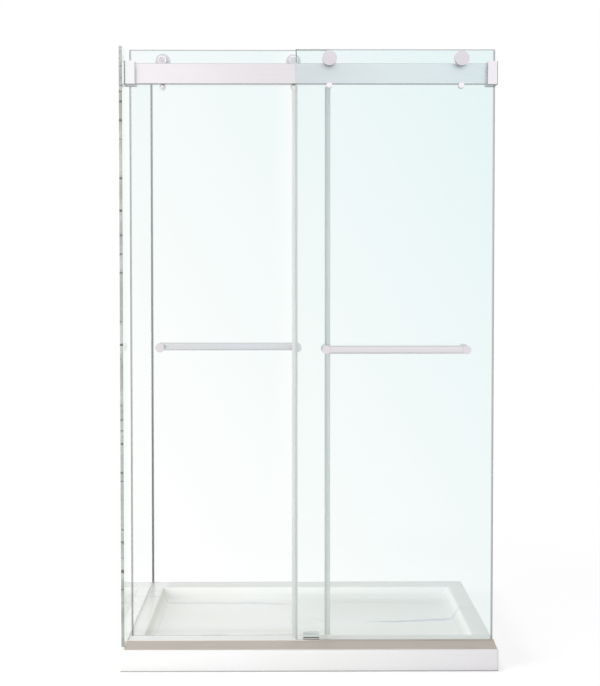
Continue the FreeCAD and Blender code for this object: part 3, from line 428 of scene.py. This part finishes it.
def cast_white(name):
    """White cast resin, satin: cream clouds, a few thin grey-blue veins, soft painted shade and a painted
    shadow at its foot.
    """
    finish = Finish(name, coat_weight=0.25, coat_roughness=0.18)
    place, normal = finish.axes("Object"), finish.axes("Normal")
    clouds = finish.noise(CAST_CLOUDS, detail=5, roughness=0.6, stretch=CLOUD_STRETCH)
    colour = finish.mix(finish.ramp(clouds, *CREAM_SPAN), CAST_WHITE, CAST_CREAM)
    colour = finish.mix(cast_veins(finish, place), colour, VEIN_GREY)
    colour = finish.mix(rim_shade(finish, place, normal), colour, SHADE_GREY)
    left_wall, low_basin = basin_shades(finish, place, normal)
    colour = finish.mix(left_wall, colour, WALL_PAINTED_SHADE)
    colour = finish.mix(low_basin, colour, SHADE_GREY)
    # Painted shade on the apron, growing to the right
    apron = finish.product(finish.ramp(normal[1], *FACES_FRONT), finish.ramp(place[0], *APRON_TO_RIGHT))
    colour = finish.mix(apron, colour, APRON_PAINTED_SHADE)
    # Painted shadow along the foot, where the tray meets the floor
    finish.feed("Base Color", finish.mix(finish.ramp(place[2], *FOOT_SHADOW_TO_TOP), colour, FOOT_PAINTED_SHADOW))
    finish.feed("Roughness", finish.ramp(clouds, *NOISE_SPAN, *CAST_ROUGHNESS))
    finish.bump(finish.noise(CAST_GRAIN, detail=2), strength=0.04)
    return finish.material


SILL_NOSE, LIP_WIDTH, LIP_HEIGHT = 3 * MM, 2.5 * MM, 3 * MM
SILL_LINES, SILL_LINE_SHARE = (3, 700, 700), (0.3, 0.8, 0.0, 0.35)
SILL_CLOUDS, SILL_ROUGHNESS = 3.0, (0.36, 0.5)
SILL_WARM, SILL_SHADE, SILL_LINE = srgb(196, 186, 178), srgb(188, 177, 169), srgb(175, 165, 157)
LIP_PAINTED_HIGHLIGHT = srgb(252, 248, 240)
# The lip's painted highlight: how far below the top it begins and is full, in shares of the lip, and its fade
# along X
LIP_BEGINS, LIP_FULL, LIP_TO_RIGHT = 0.8, 0.5, (-0.02, 0.05, 0.9, 0.0)


def satin_sill(name):
    """Warm grey satin metal, drawn along its length, with a painted highlight along the left half of its lip.
    """
    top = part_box("threshold_sill")[1].z
    finish = Finish(name, metallic=0.35)
    place = finish.axes("Object")
    lines = finish.noise(1.0, detail=4, roughness=0.6, stretch=SILL_LINES)
    clouds = finish.noise(SILL_CLOUDS, detail=3)
    warm = finish.mix(finish.ramp(clouds, *NOISE_SPAN), SILL_WARM, SILL_SHADE)
    drawn = finish.mix(finish.ramp(lines, *SILL_LINE_SHARE), warm, SILL_LINE)
    on_lip = finish.ramp(place[2], top - LIP_HEIGHT * LIP_BEGINS, top - LIP_HEIGHT * LIP_FULL)
    painted_highlight = finish.product(on_lip, finish.ramp(place[0], *LIP_TO_RIGHT))
    finish.feed("Base Color", finish.mix(painted_highlight, drawn, LIP_PAINTED_HIGHLIGHT))
    finish.feed("Roughness", finish.ramp(lines, *WIDE_SPAN, *SILL_ROUGHNESS))
    finish.bump(lines, strength=0.06)
    return finish.material


CHANNEL_LINES, CHANNEL_LINE_SHARE, CHANNEL_ROUGHNESS = (800, 800, 4), 0.25, (0.34, 0.46)
CHANNEL_LINE = srgb(82, 83, 83)
# The channel's grey at its foot, darkened by painted shade, and at its top
CHANNEL_FOOT, CHANNEL_TOP = srgb(84, 85, 85), srgb(172, 177, 179)


def wall_channel_grey(name, metallic):
    """The wall channel's grey, for its satin aluminium and its seals, with painted shade darker towards the
    floor.
    """
    low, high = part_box("wall_channel")
    finish = Finish(name, metallic=metallic)
    lines = finish.noise(1.0, detail=4, stretch=CHANNEL_LINES)
    upright = finish.ramp(finish.axes("Object")[2], low.z, high.z)
    grey = finish.mix(upright, CHANNEL_FOOT, CHANNEL_TOP)
    drawn = finish.ramp(lines, *NOISE_SPAN, 0.0, CHANNEL_LINE_SHARE)
    finish.feed("Base Color", finish.mix(drawn, grey, CHANNEL_LINE))
    finish.feed("Roughness", finish.ramp(lines, *NOISE_SPAN, *CHANNEL_ROUGHNESS))
    finish.bump(lines, strength=0.06)
    return finish.material


# Floor guide: heights of its two dark lines, and half the width of one with the share of it that is full
GUIDE_LINES, GUIDE_LINE, GUIDE_LINE_FULL = (83 * MM, 89.6 * MM), 2.3 * MM, 0.7
GUIDE_CLOUDS, GUIDE_ROUGHNESS = 60.0, (0.36, 0.5)
GUIDE_PALE, GUIDE_SHADE, GUIDE_DARK = srgb(244, 246, 244), srgb(236, 239, 236), srgb(86, 90, 86)


def guide_plastic(name):
    """Pale plastic with two dark lines along its front fin, the lower one a painted shadow."""
    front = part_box("floor_guide")[0].y
    finish = Finish(name, subsurface_weight=0.05)
    place = finish.axes("Object")
    lines = []
    for level in GUIDE_LINES:
        offset = finish.distance(place[2], level)
        lines.append(finish.ramp(offset, GUIDE_LINE * GUIDE_LINE_FULL, GUIDE_LINE, 1.0, 0.0))
    in_front = finish.ramp(place[1], front + GUIDE_LINE, front + GUIDE_LINE * 2, 1.0, 0.0)
    dark = finish.product(finish.strongest(*lines), in_front)
    clouds = finish.noise(GUIDE_CLOUDS, detail=3)
    pale = finish.mix(finish.ramp(clouds, *NOISE_SPAN), GUIDE_PALE, GUIDE_SHADE)
    finish.feed("Base Color", finish.mix(dark, pale, GUIDE_DARK))
    finish.feed("Roughness", finish.ramp(clouds, *NOISE_SPAN, *GUIDE_ROUGHNESS))
    finish.bump(finish.noise(PLASTIC_GRAIN, detail=2), strength=0.08)
    return finish.material


# The finish of each material slot, and the finishes of nodes that differ from their slot's
FINISHES = {
    "cast_white": cast_white("cast_white_finish"),
    "grey_plastic": moulded("grey_plastic_finish", srgb(152, 155, 158), roughness=0.5),
    "white_plastic": moulded("white_plastic_finish", srgb(246, 246, 244), roughness=0.3),
    "sill_finish": satin_sill("sill_satin"),
    "clear_vinyl": vinyl("clear_vinyl_finish", srgb(234, 237, 236), clear=0.25),
    "satin_aluminium": wall_channel_grey("channel_satin", metallic=0.85),
    # A steel's below, beside, above, around, track and middle are shares of painted shade
    "rail_steel": brushed_steel("rail_brushed", srgb(255, 251, 255), LINES_ALONG_X, roughness=0.34,
                                below=0.7, beside=0.4, track=RAIL_TOP - RIB_HEIGHT, middle=0.14),
    "bracket_steel": brushed_steel("bracket_satin", srgb(249, 245, 250), LINES_ALONG_Z, below=0.7,
                                   beside=0.28),
    "fitting_steel": brushed_steel("fitting_satin", srgb(231, 226, 232), TURNED, around=0.55, below=0.5),
    "handle_steel": brushed_steel("handle_brushed", srgb(234, 230, 234), LINES_ALONG_X, below=0.1, beside=0.5,
                                  above=0.35),
    "screw_steel": brushed_steel("screw_plain", srgb(230, 226, 231), TURNED, roughness=0.36, below=0.4),
    "bearing_steel": brushed_steel("bearing_ground", srgb(230, 227, 231), TURNED, below=0.2),
    "wheel_nylon": moulded("nylon_finish", srgb(253, 250, 254), roughness=0.42, subsurface_weight=0.08),
    "bush_plastic": moulded("bush_finish", srgb(222, 226, 227), roughness=0.35, transmission_weight=0.3),
    "bumper_rubber": moulded("rubber_finish", srgb(178, 180, 182), roughness=0.75),
    "guide_plastic": guide_plastic("guide_finish"),
}
outer_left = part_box("outer_glass")[0].x
# Pin steel, with painted shade below and round its sides
pin_satin = brushed_steel("pin_satin", srgb(255, 252, 255), TURNED, around=0.5, below=0.5)
OWN_FINISHES = {
    "outer_glass": pane_glass("outer_glass", ACROSS_Y, POLISHED_EDGE, faces=1),
    "inner_glass": pane_glass("inner_glass", ACROSS_Y, POLISHED_EDGE, faces=-1, tint_to=outer_left),
    "return_panel": pane_glass("return_panel", ACROSS_X, SEAMED_EDGE),
    "setting_strip": vinyl("setting_strip_finish", srgb(252, 252, 250), clear=0.05),
    "channel_seals": wall_channel_grey("glazing_seal_finish", metallic=0.0),
    # The left bracket's steel, whiter than the other bracket's: painted light
    "left_bracket": brushed_steel("left_bracket_painted_light", srgb(255, 255, 255), LINES_ALONG_Z, below=0.7,
                                  beside=0.28),
    "outer_anti_jump_caps": pin_satin,
    "inner_anti_jump_caps": pin_satin,
    "outer_anti_jump_pins": pin_satin,
    "inner_anti_jump_pins": pin_satin,
}


def finish_of(node):
    """A node's own finish, or else its slot's."""
    return OWN_FINISHES.get(node) or FINISHES[SLOT_OF[node]]


for node, cad_object in NODES.items():
    cad_object.material_slots[0].material = finish_of(node)


# Mesh helpers

WELD, TRAY_WELD, SHARP_ANGLE = 0.001 * MM, 0.01 * MM, 32


def ease(bm, size, angle, segments=3, chosen=None):
    """Round the edges of a mesh that turn by more than an angle, or those of them that are chosen."""
    sharp = []
    for edge in bm.edges:
        if len(edge.link_faces) == 2 and edge.calc_face_angle() > math.radians(angle):
            if chosen is None or chosen(edge):
                sharp.append(edge)
    bmesh.ops.bevel(bm, geom=sharp, offset=size, offset_type="OFFSET", segments=segments, profile=0.5,
                    affect="EDGES", material=-1, clamp_overlap=True)


def lathe(bm, centre, axis, profile, steps):
    """Spin a profile of (radius, distance along the axis) about a line through a centre."""
    side = axis.orthogonal().normalized()
    points = [bm.verts.new(centre + side * radius + axis * along) for radius, along in profile]
    edges = [bm.edges.new(pair) for pair in zip(points, points[1:])]
    bmesh.ops.spin(bm, geom=points + edges, cent=centre, axis=axis, angle=math.tau, steps=steps,
                   use_merge=True)
    bmesh.ops.remove_doubles(bm, verts=bm.verts, dist=WELD)


def piece(name, bm, *nodes):
    """Make a mesh an object that rides with the CAD nodes it stands for and takes their finish."""
    bmesh.ops.remove_doubles(bm, verts=bm.verts, dist=WELD)
    bmesh.ops.recalc_face_normals(bm, faces=bm.faces)
    mesh = bpy.data.meshes.new(name)
    bm.to_mesh(mesh)
    bm.free()
    mesh.shade_smooth()
    mesh.set_sharp_from_angle(angle=math.radians(SHARP_ANGLE))
    mesh.materials.append(finish_of(nodes[0]))
    made = bpy.data.objects.new(name, mesh)
    bpy.context.scene.collection.objects.link(made)
    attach(made, BODY_OF[nodes[0]])
    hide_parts(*nodes)


# Tray: a foot, a rim and a basin that falls to the drain's recess and pipe hole

# A ring near the floor's edge keeps its round narrow, and each side of the square round the drain is divided
# into steps that become its circle
FLOOR_HOLD, ROUND_STEPS = 0.06, 12


def set_corners(face, x, y, z):
    """Move a four-sided face's points to a level rectangle."""
    middle = face.calc_center_median()
    for vert in face.verts:
        vert.co = (x[vert.co.x > middle.x], y[vert.co.y > middle.y], z)


def set_radius(face, centre, radius):
    """Move a face's points straight out or in to a circle, each at its own height."""
    for vert in face.verts:
        vert.co.xy = centre.xy + (vert.co.xy - centre.xy).normalized() * radius


def step_in(bm, face, steps=1):
    """Inset a face, and divide its edges into steps."""
    bmesh.ops.inset_region(bm, faces=[face], thickness=MM, use_even_offset=True)
    if steps > 1:
        bmesh.ops.bisect_edges(bm, edges=list(face.edges), cuts=steps - 1)


def pull(bm, face, z):
    """Extrude a level face straight up or down to a height."""
    made = bmesh.ops.extrude_face_region(bm, geom=[face])["geom"]
    pulled = next(item for item in made if isinstance(item, bmesh.types.BMFace))
    bmesh.ops.delete(bm, geom=[face], context="FACES_ONLY")
    for vert in pulled.verts:
        vert.co.z = z
    return pulled


def make_tray():
    """A block pulled up from its foot, stepped in to the rim, the basin, the recess and the pipe hole."""
    low, high = tray_low, tray_high
    cover_low, cover_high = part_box("drain_cover")
    drain = (cover_low + cover_high) / 2
    foot_x, foot_y = (low.x + FOOT_INSET, high.x - FOOT_INSET), (low.y + FOOT_INSET, high.y - FOOT_INSET)
    sump_x = (drain.x - SUMP_HALF, drain.x + SUMP_HALF)
    sump_y = (drain.y - SUMP_HALF, drain.y + SUMP_HALF)
    floor_x = (-BASIN_X + WALL_RUN, BASIN_X - WALL_RUN)
    floor_y = (BASIN_FRONT + WALL_RUN, BASIN_BACK - WALL_RUN)

    def along_floor(share):
        """The level rectangle a share of the way down the floor's slope."""
        x = [edge + (sump - edge) * share for edge, sump in zip(floor_x, sump_x)]
        y = [edge + (sump - edge) * share for edge, sump in zip(floor_y, sump_y)]
        return x, y, FLOOR_EDGE + (FLOOR_LOW - FLOOR_EDGE) * share

    bm = bmesh.new()
    bmesh.ops.create_cube(bm, size=1)
    under = min(bm.faces, key=lambda face: face.calc_center_median().z)
    top = max(bm.faces, key=lambda face: face.calc_center_median().z)
    set_corners(under, foot_x, foot_y, low.z)
    set_corners(top, (low.x, high.x), (low.y, high.y), low.z + FOOT_HEIGHT)
    top = pull(bm, top, high.z)
    step_in(bm, top)
    set_corners(top, (-BASIN_X, BASIN_X), (BASIN_FRONT, BASIN_BACK), high.z)
    for share in (0, FLOOR_HOLD, 1):
        step_in(bm, top)
        set_corners(top, *along_floor(share))
    step_in(bm, top, ROUND_STEPS)
    set_radius(top, drain, RECESS_RADIUS)
    recess = pull(bm, pull(bm, top, RECESS_FLOOR), RECESS_FLOOR)
    set_radius(recess, drain, PIPE_HOLE)
    pipe = pull(bm, recess, low.z)
    step_in(bm, under)
    set_corners(under, sump_x, sump_y, low.z)
    step_in(bm, under, ROUND_STEPS)
    set_radius(under, drain, PIPE_HOLE)
    bmesh.ops.delete(bm, geom=[pipe, under], context="FACES_ONLY")
    bmesh.ops.remove_doubles(bm, verts=bm.verts, dist=TRAY_WELD)
    bmesh.ops.recalc_face_normals(bm, faces=bm.faces)

    def on_outside(edge):
        """The top outline and the upright corners."""
        points = [vert.co for vert in edge.verts]
        outer = all(abs(p.x) > high.x - MM or p.y < low.y + MM or p.y > high.y - MM for p in points)
        return outer and max(p.z for p in points) > FLOOR_EDGE

    def on_basin(edge):
        """The rim's inner outline and the basin's sloping corners and floor outline."""
        points = [vert.co for vert in edge.verts]
        within = all(abs(p.x) < BASIN_X + MM and BASIN_FRONT - MM < p.y < BASIN_BACK + MM for p in points)
        return within and min(p.z for p in points) > FLOOR_EDGE - MM

    ease(bm, TRAY_ROUND, angle=60, segments=4, chosen=on_outside)
    ease(bm, RIM_ROUND, angle=20, segments=4, chosen=on_basin)
    piece("tray_casting", bm, "shower_tray")


make_tray()


# Drain cover: thickness and eased rim, its dish, and its feet with the circle that they stand on
COVER_THICKNESS, COVER_EDGE = 4 * MM, 1.2 * MM
DISH_DEPTH, DISH_RIM, DISH_FLOOR = 0.8 * MM, 0.86, 0.8
COVER_FEET, COVER_FOOT, COVER_FOOT_CIRCLE = 4, 4 * MM, 43.6 * MM
COVER_STEPS, COVER_FOOT_STEPS = 96, 24


def make_drain_cover():
    """A flush disc with an eased rim and a shallow dish, on four feet."""
    low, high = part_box("drain_cover")
    centre = (low + high) / 2
    radius = (high.x - low.x) / 2
    seat, dish = high.z - COVER_THICKNESS, high.z - DISH_DEPTH
    base = Vector((centre.x, centre.y, 0))
    bm = bmesh.new()
    lathe(bm, base, ALONG_Z, [
        (0, seat), (radius, seat), (radius, high.z),
        (radius * DISH_RIM, high.z), (radius * DISH_FLOOR, dish), (0, dish),
    ], COVER_STEPS)
    ease(bm, COVER_EDGE, angle=40)
    for step in range(COVER_FEET):
        turn = math.tau * step / COVER_FEET
        spot = base + Vector((math.cos(turn), math.sin(turn), 0)) * COVER_FOOT_CIRCLE
        foot = [(0, low.z), (COVER_FOOT, low.z), (COVER_FOOT, seat), (0, seat)]
        lathe(bm, spot, ALONG_Z, foot, COVER_FOOT_STEPS)
    piece("drain_disc", bm, "drain_cover")


make_drain_cover()


SILL_EDGE = 0.8 * MM


def make_sill():
    """A ramp with an eased nose and an upright lip, drawn along X."""
    low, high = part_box("threshold_sill")
    lip = high.y - LIP_WIDTH
    outline = ((low.y, low.z), (high.y, low.z), (high.y, high.z), (lip, high.z), (lip, high.z - LIP_HEIGHT),
               (low.y, low.z + SILL_NOSE))
    bm = bmesh.new()
    section = bm.faces.new([bm.verts.new((low.x, y, z)) for y, z in outline])
    drawn = bmesh.ops.extrude_face_region(bm, geom=[section], use_keep_orig=True)["geom"]
    ends = [item for item in drawn if isinstance(item, bmesh.types.BMVert)]
    bmesh.ops.translate(bm, verts=ends, vec=(high.x - low.x, 0, 0))
    bmesh.ops.recalc_face_normals(bm, faces=bm.faces)
    ease(bm, SILL_EDGE, angle=20, chosen=lambda edge: min(vert.co.z for vert in edge.verts) > low.z + MM)
    piece("sill_ramp", bm, "threshold_sill")


make_sill()


# Turned fittings on the doors: each node holds two alike pieces on lines along Y

# Profiles: shares of the radius, and of the way from seat to face
ROLLER_DISC = ((0, 0), (0.97, 0), (0.97, 0.08), (1, 0.08), (1, 1), (0, 1))
PLAIN_DISC = ((0, 0), (1, 0), (1, 1), (0, 1))
DOMED_DISC = ((0, 0), (1, 0), (1, 0.5), (0.8, 0.86), (0.45, 1), (0, 1))
DISC_EDGE, PIN_EDGE = 1.4 * MM, 0.5 * MM
# Each door's fittings: the piece, the node that it stands for, its profile, eased edge and steps round
FITTINGS = (
    ("roller_discs", "roller_caps", ROLLER_DISC, DISC_EDGE, 96),
    ("pin_caps", "anti_jump_caps", DOMED_DISC, PIN_EDGE, 48),
    ("bar_posts", "handle_posts", PLAIN_DISC, DISC_EDGE, 80),
    ("bar_caps", "handle_caps", PLAIN_DISC, DISC_EDGE, 80),
)


def pair_of_turnings(door, name, stands_for, profile, edge, steps):
    """Two turned pieces for a node, with their seats towards the door's glass."""
    node = f"{door}_{stands_for}"
    low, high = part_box(node)
    radius = (high.z - low.z) / 2
    glass_low, glass_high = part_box(f"{door}_glass")
    in_front = (low.y + high.y) < (glass_low.y + glass_high.y)
    seat, face = (high.y, low.y) if in_front else (low.y, high.y)
    outline = [(share_out * radius, (face - seat) * share_along) for share_out, share_along in profile]
    bm = bmesh.new()
    for x in (low.x + radius, high.x - radius):
        lathe(bm, Vector((x, seat, (low.z + high.z) / 2)), ALONG_Y, outline, steps)
    bmesh.ops.recalc_face_normals(bm, faces=bm.faces)
    ease(bm, edge, angle=30)
    piece(f"{door}_{name}", bm, node)


for door in DOORS:
    for fitting in FITTINGS:
        pair_of_turnings(door, *fitting)


BAR_WALL, BAR_STEPS = 1.5 * MM, 80


def make_bar(door):
    """A tube between two posts, its ends inside them."""
    low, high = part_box(f"{door}_handle_bar")
    radius = (high.z - low.z) / 2
    bore = radius - BAR_WALL
    length = high.x - low.x
    start = Vector((low.x, (low.y + high.y) / 2, (low.z + high.z) / 2))
    bm = bmesh.new()
    section = [(bore, 0), (radius, 0), (radius, length), (bore, length), (bore, 0)]
    lathe(bm, start, ALONG_X, section, BAR_STEPS)
    piece(f"{door}_bar_tube", bm, f"{door}_handle_bar")


for door in DOORS:
    make_bar(door)


# Studio: white ground and sky for what the camera, metal and glass see, soft lamps for the rest

# Sky: its colour, its strength as a light and the strength that looks white
SKY_WHITE, SKY_FILL, FULL_WHITE = (1, 1, 1, 1), 0.435, 1.0
# Floor: half its width, how far it lies below the tray, its paint, and its own glow near the object
FLOOR_HALF, FLOOR_DROP = 9.0, 0.4 * MM
FLOOR_PAINT, FLOOR_GLOW = (0.8, 0.8, 0.8, 1), 0.33
# From the object out, the floor keeps its shadow up to one reach and is pure white from the other
SHADOW_REACH, WHITE_REACH = 0.7, 2.2


def studio_node(tree, kind, **values):
    """A new shader node with plain values on its sockets."""
    node = tree.nodes.new(kind)
    for socket, value in values.items():
        node.inputs[socket].default_value = value
    return node


def white_when_seen(tree, seen, soft):
    """Two shaders mixed by whether the ray comes from the camera, a reflection or a refraction."""
    path = tree.nodes.new("ShaderNodeLightPath")
    shown = path.outputs["Is Camera Ray"]
    for ray in ("Is Glossy Ray", "Is Transmission Ray"):
        either = tree.nodes.new("ShaderNodeMath")
        either.operation = "MAXIMUM"
        tree.links.new(shown, either.inputs[0])
        tree.links.new(path.outputs[ray], either.inputs[1])
        shown = either.outputs[0]
    return mix_shaders(tree, shown, soft, seen)


def make_sky():
    """A sky that looks white and lights the object softly."""
    world = bpy.data.worlds.new("studio")
    bpy.context.scene.world = world
    world.use_nodes = True
    tree = world.node_tree
    tree.nodes.remove(tree.nodes["Background"])
    soft = studio_node(tree, "ShaderNodeBackground", Color=SKY_WHITE, Strength=SKY_FILL)
    white = studio_node(tree, "ShaderNodeBackground", Color=SKY_WHITE, Strength=FULL_WHITE)
    mixed = white_when_seen(tree, white.outputs[0], soft.outputs[0])
    tree.links.new(mixed, tree.nodes["World Output"].inputs["Surface"])


def floor_finish():
    """Pale paint with the object's shadow on it, which turns pure white further out."""
    material = bpy.data.materials.new("pale_floor")
    material.use_nodes = True
    tree = material.node_tree
    tree.nodes.remove(tree.nodes["Principled BSDF"])
    paint = studio_node(tree, "ShaderNodeBsdfDiffuse", Color=FLOOR_PAINT)
    glow = studio_node(tree, "ShaderNodeEmission", Strength=FLOOR_GLOW)
    white = studio_node(tree, "ShaderNodeEmission", Strength=FULL_WHITE)
    near = tree.nodes.new("ShaderNodeAddShader")
    tree.links.new(glow.outputs[0], near.inputs[0])
    tree.links.new(paint.outputs[0], near.inputs[1])
    place = tree.nodes.new("ShaderNodeTexCoord")
    reach = tree.nodes.new("ShaderNodeVectorMath")
    reach.operation = "LENGTH"
    tree.links.new(place.outputs["Object"], reach.inputs[0])
    far = tree.nodes.new("ShaderNodeMapRange")
    far.interpolation_type = "SMOOTHSTEP"
    far.inputs["From Min"].default_value = SHADOW_REACH
    far.inputs["From Max"].default_value = WHITE_REACH
    tree.links.new(reach.outputs["Value"], far.inputs["Value"])
    seen = mix_shaders(tree, far.outputs[0], near.outputs[0], white.outputs[0])
    mixed = white_when_seen(tree, seen, paint.outputs[0])
    tree.links.new(mixed, tree.nodes["Material Output"].inputs["Surface"])
    return material


def make_floor():
    """A wide level sheet just below the tray."""
    bm = bmesh.new()
    bmesh.ops.create_grid(bm, x_segments=2, y_segments=2, size=FLOOR_HALF)
    bmesh.ops.translate(bm, verts=bm.verts, vec=(0, 0, -FLOOR_DROP))
    mesh = bpy.data.meshes.new("floor")
    bm.to_mesh(mesh)
    bm.free()
    mesh.materials.append(floor_finish())
    floor = bpy.data.objects.new("floor", mesh)
    bpy.context.scene.collection.objects.link(floor)


# Lamps: place, the point each faces, width, height and power
LAMPS = {
    "key": ((-4.4, -3.6, 1.7), (0.1, 0, 0.3), 3.2, 3.0, 176),
    "front": ((-0.6, -5.6, 1.5), (0, 0, 0.4), 4.0, 2.6, 28),
    "top": ((0.0, 0.4, 5.2), (0, 0, 0), 3.4, 3.4, 98),
}


def make_lamps():
    """Area lamps that light the object without being seen."""
    for name, (place, aim, width, height, power) in LAMPS.items():
        lamp = bpy.data.lights.new(name, "AREA")
        lamp.shape = "RECTANGLE"
        lamp.size = width
        lamp.size_y = height
        lamp.energy = power
        lamp_object = bpy.data.objects.new(name, lamp)
        lamp_object.location = place
        lamp_object.rotation_euler = (Vector(aim) - Vector(place)).to_track_quat("-Z", "Y").to_euler()
        lamp_object.visible_camera = False
        lamp_object.visible_glossy = False
        lamp_object.visible_transmission = False
        bpy.context.scene.collection.objects.link(lamp_object)


# Camera: place and turn, then its focal length and the rise of its axis, both in pixels of the picture
CAMERA_PLACE = (-0.0663, -4.5785, 1.2933)
CAMERA_PITCH, CAMERA_YAW = -0.0321, -0.0088
PICTURE_HEIGHT, FOCAL_PIXELS, AXIS_RISE = 686, 1294.6, 32.3
SENSOR = 36.0


def make_camera():
    """A camera that stands in front of the doors and looks slightly down."""
    camera = bpy.data.cameras.new("camera")
    camera.sensor_width = SENSOR
    camera.lens = SENSOR * FOCAL_PIXELS / PICTURE_HEIGHT
    camera.shift_y = -AXIS_RISE / PICTURE_HEIGHT
    camera_object = bpy.data.objects.new("camera", camera)
    camera_object.location = CAMERA_PLACE
    camera_object.rotation_euler = (math.pi / 2 + CAMERA_PITCH, 0, CAMERA_YAW)
    bpy.context.scene.collection.objects.link(camera_object)
    bpy.context.scene.camera = camera_object


make_sky()
make_floor()
make_lamps()
make_camera()
bpy.context.scene.view_settings.view_transform = "Standard"
